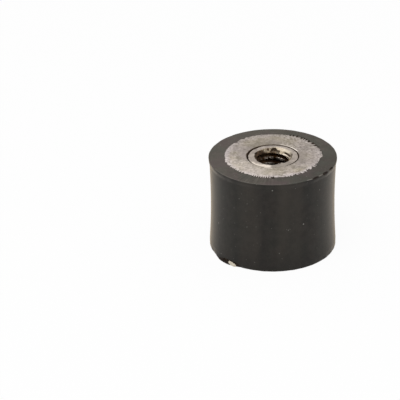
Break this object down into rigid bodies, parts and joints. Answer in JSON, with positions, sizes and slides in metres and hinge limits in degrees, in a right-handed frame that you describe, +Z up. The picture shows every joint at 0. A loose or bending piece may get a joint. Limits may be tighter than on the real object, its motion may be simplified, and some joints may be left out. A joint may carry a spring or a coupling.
{
  "type": "rubber buffer",
  "caption": "Short waisted rubber cylinder with a flat steel plate and a female threaded bush bonded into each end, to isolate vibration.",
  "frame": {"origin": "centre of the lower end face, on which the buffer stands", "axes": "+Z up along the buffer's axis, from the lower end face to the upper; +X and +Y across it, and the picture looks along +Y"},
  "size_m": [0.02, 0.02, 0.015],
  "materials": {
    "rubber": "matte black moulded rubber, slightly dusty",
    "plate_steel": "dull tumbled bare steel, faintly mottled",
    "bush_steel": "satin turned steel, oily in the thread"
  },
  "bodies": {
    "root": {"rubber_body": "rubber", "top_plate": "plate_steel", "bottom_plate": "plate_steel", "top_bush": "bush_steel", "bottom_bush": "bush_steel"}
  },
  "joints": []
}
